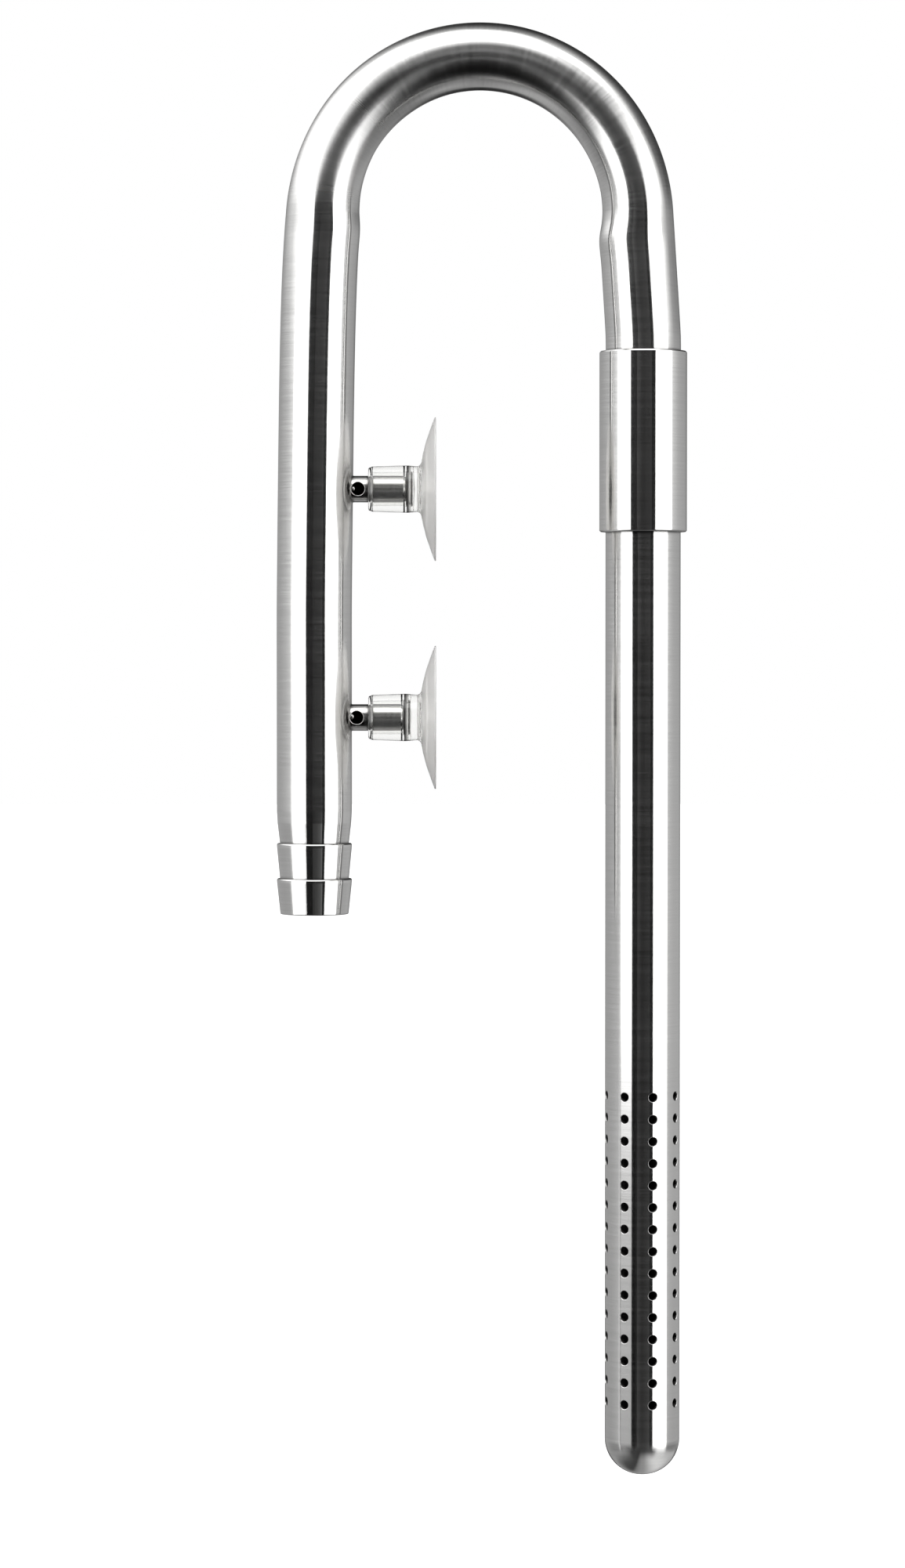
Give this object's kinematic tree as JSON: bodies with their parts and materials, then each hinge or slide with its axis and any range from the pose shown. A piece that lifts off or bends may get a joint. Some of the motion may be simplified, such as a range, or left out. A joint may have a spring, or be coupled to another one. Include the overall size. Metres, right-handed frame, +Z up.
{
  "type": "aquarium filter intake pipe",
  "caption": "Inverted-U steel intake pipe with a barbed hose end, clear suction cups on pegs, a slip coupling and a perforated strainer tube with a domed end.",
  "frame": {"origin": "centre of the upper suction cup's contact face, on the axis of its peg", "axes": "+X through the glass towards the inside of the tank, +Z up along the legs, Y = 0 is the plane of the two legs and -Y faces the viewer"},
  "size_m": [0.0929, 0.0324, 0.3292],
  "materials": {
    "tube_steel": "satin-polished stainless tube with a fine grain running round it",
    "turned_steel": "bright turned stainless",
    "clear_pvc": "clear soft PVC, very slightly smoky",
    "seal_rubber": "black moulded rubber"
  },
  "bodies": {
    "hook": {"hook_pipe": "tube_steel", "hose_barb": "turned_steel", "upper_mount_peg": "turned_steel", "lower_mount_peg": "turned_steel"},
    "upper_cup": {"upper_suction_cup": "clear_pvc"},
    "lower_cup": {"lower_suction_cup": "clear_pvc"},
    "hook_side_seals": {"hook_side_outer_o_ring": "seal_rubber", "hook_side_inner_o_ring": "seal_rubber"},
    "coupling": {"coupling_sleeve": "turned_steel"},
    "strainer_side_seals": {"strainer_side_inner_o_ring": "seal_rubber", "strainer_side_outer_o_ring": "seal_rubber"},
    "strainer": {"strainer_tube": "tube_steel", "strainer_end_cap": "tube_steel"}
  },
  "joints": [
    {"name": "upper_cup_twist", "type": "hinge", "parent": "hook", "child": "upper_cup", "pos_m": [0, 0, 0], "axis": [1, 0, 0], "continuous": true},
    {"name": "lower_cup_twist", "type": "hinge", "parent": "hook", "child": "lower_cup", "pos_m": [0, 0, -0.0517], "axis": [1, 0, 0], "continuous": true},
    {"name": "coupling_slide", "type": "slide", "parent": "hook", "child": "hook_side_seals", "axis": [0, 0, -1], "range_m": [0, 0.025]},
    {"name": "coupling_twist", "type": "hinge", "parent": "hook_side_seals", "child": "coupling", "pos_m": [0.0469, 0, 0.011], "axis": [0, 0, 1], "continuous": true},
    {"name": "strainer_twist", "type": "hinge", "parent": "coupling", "child": "strainer_side_seals", "pos_m": [0.0469, 0, 0.011], "axis": [0, 0, 1], "continuous": true},
    {"name": "strainer_slide", "type": "slide", "parent": "strainer_side_seals", "child": "strainer", "axis": [0, 0, -1], "range_m": [0, 0.025]}
  ]
}
